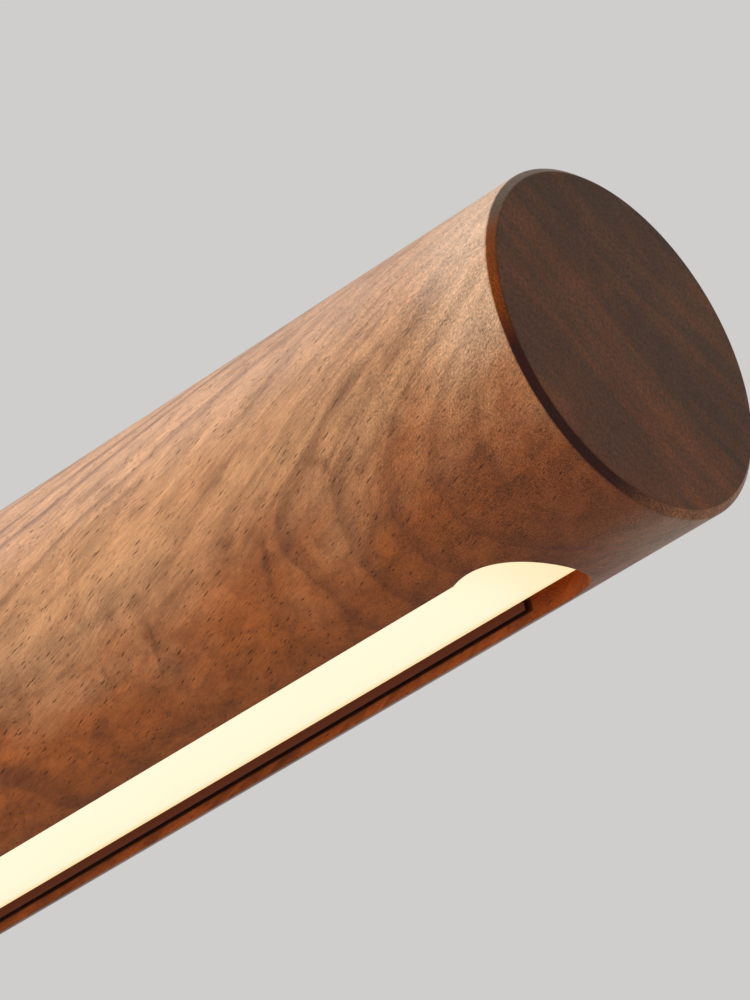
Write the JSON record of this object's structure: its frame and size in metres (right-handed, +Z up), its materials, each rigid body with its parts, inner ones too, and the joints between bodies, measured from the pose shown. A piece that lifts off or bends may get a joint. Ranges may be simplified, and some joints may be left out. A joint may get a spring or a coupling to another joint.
{
  "type": "linear table lamp",
  "caption": "Table lamp with a long turned walnut bar and a recessed light strip along its underside, rolling on a hub over a swivelling stem and a weighted round base.",
  "frame": {"origin": "middle of the foot pad's underside, on the stem's axis", "axes": "+Z up along the stem, +X along the bar towards its free end, the light slot facing -Z"},
  "size_m": [0.559, 0.18, 0.44],
  "materials": {
    "walnut": "oiled, fine open grain",
    "bronze_steel": "satin dark bronze coat",
    "bronze_aluminium": "dark bronze anodised",
    "opal": "satin opal, lit warm white",
    "steel": "plain turned",
    "brass": "turned",
    "iron": "phosphated",
    "bearing_plastic": "smooth, low friction",
    "black_plastic": "moulded",
    "white_plastic": "moulded",
    "board": "solder mask",
    "lamp": "cast resin",
    "rubber": "fine matt"
  },
  "bodies": {
    "base": {"base_cover": "bronze_steel", "ballast": "iron", "bottom_plate": "iron", "plate_screws": "steel", "foot_pad": "rubber", "stem_socket": "bronze_steel", "socket_screws": "steel", "upper_bush": "bearing_plastic", "lower_bush": "bearing_plastic", "swivel_stop_pin": "steel", "driver_board": "board", "driver_parts": "black_plastic", "power_inlet": "steel", "switch_board": "board", "switch_body": "black_plastic", "board_screws": "steel", "link_lead": "rubber", "link_plugs": "white_plastic", "output_plug": "white_plastic", "base_lead": "rubber"},
    "button": {"button_cap": "walnut", "switch_plunger": "white_plastic"},
    "stem": {"stem_tube": "bronze_steel", "stem_collar": "bronze_steel", "stop_washer": "steel", "stem_clip": "steel", "hub_nipple": "steel", "nipple_nut": "steel", "hub_body": "bronze_aluminium", "hub_cap": "walnut", "cap_ring": "rubber", "roll_axle": "steel", "axle_nut": "steel", "friction_washer": "bearing_plastic", "roll_stop_pin": "steel", "disc_spring": "steel", "lock_nut": "steel", "stem_lead": "rubber"},
    "bar": {"wood_bar": "walnut", "bar_bush": "brass", "bush_screws": "steel", "led_channel": "bronze_aluminium", "channel_screws": "steel", "led_strip": "board", "leds": "lamp", "strip_terminal": "white_plastic", "diffuser": "opal", "bar_lead": "rubber"}
  },
  "joints": [
    {"name": "stem_swivel", "type": "hinge", "parent": "base", "child": "stem", "pos_m": [0, 0, 0.03], "axis": [0, 0, 1], "range_deg": [-158, 158]},
    {"name": "bar_roll", "type": "hinge", "parent": "stem", "child": "bar", "pos_m": [0.045, 0, 0.42], "axis": [1, 0, 0], "range_deg": [-150, 150]},
    {"name": "button_press", "type": "slide", "parent": "base", "child": "button", "axis": [0, 0, -1], "range_m": [0, 0.0012], "stiffness_N_per_m": 1200, "springref_m": -0.0006}
  ]
}
